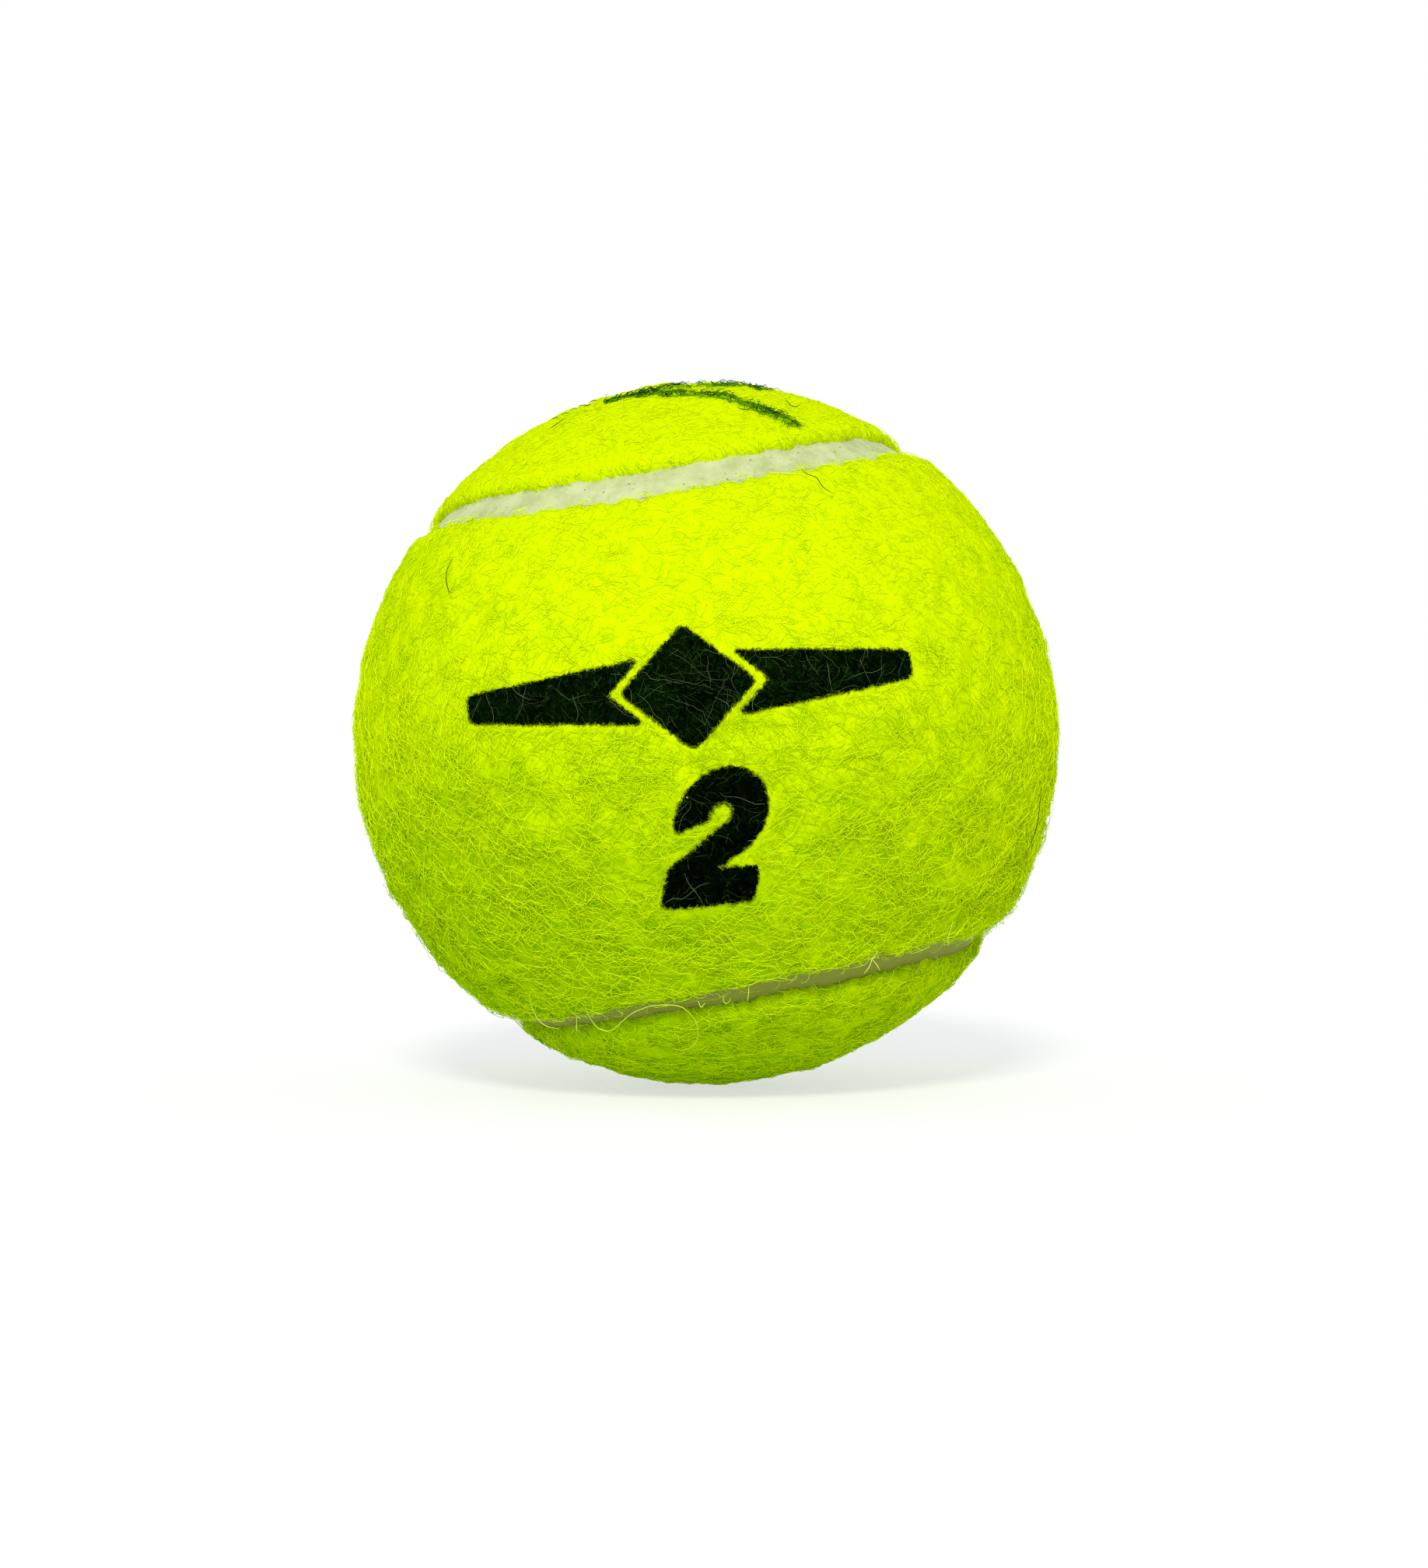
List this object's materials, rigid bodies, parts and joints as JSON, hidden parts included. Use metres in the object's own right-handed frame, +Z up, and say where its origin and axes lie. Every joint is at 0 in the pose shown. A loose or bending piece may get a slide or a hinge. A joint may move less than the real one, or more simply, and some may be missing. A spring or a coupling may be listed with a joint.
{
  "type": "tennis ball",
  "caption": "Pressurised tennis ball: a hollow rubber core under two felt panels that meet in a sunken seam, with a numeral and an ornament printed on one panel.",
  "frame": {"origin": "centre of the ball", "axes": "+Z up through the crown; -Y through the waist of the front panel, which carries the prints; +X along the front panel to the right. Y is the seam's fourfold turn-and-mirror axis"},
  "size_m": [0.067, 0.067, 0.067],
  "materials": {
    "core_rubber": "moulded, buffed outside",
    "core_cement": "cured rubber cement",
    "panel_cement": "cured latex cement",
    "base_cloth": "woven cotton base",
    "felt_pile": "raised and milled wool and nylon pile, fluorescent yellow",
    "seam_rubber": "vulcanised seam compound, matt",
    "print_ink": "black ink in the pile",
    "pen_ink": "green felt-tip ink in the pile"
  },
  "bodies": {
    "root": {"core_half_lower": "core_rubber", "core_half_upper": "core_rubber", "core_joint_cement": "core_cement", "panel_cement_front": "panel_cement", "panel_cement_rear": "panel_cement", "felt_backing_front": "base_cloth", "felt_backing_rear": "base_cloth", "felt_nap_front": "felt_pile", "felt_nap_rear": "felt_pile", "seam_rubber": "seam_rubber", "number_print": "print_ink", "ornament_print": "print_ink", "pen_mark": "pen_ink"}
  },
  "joints": []
}
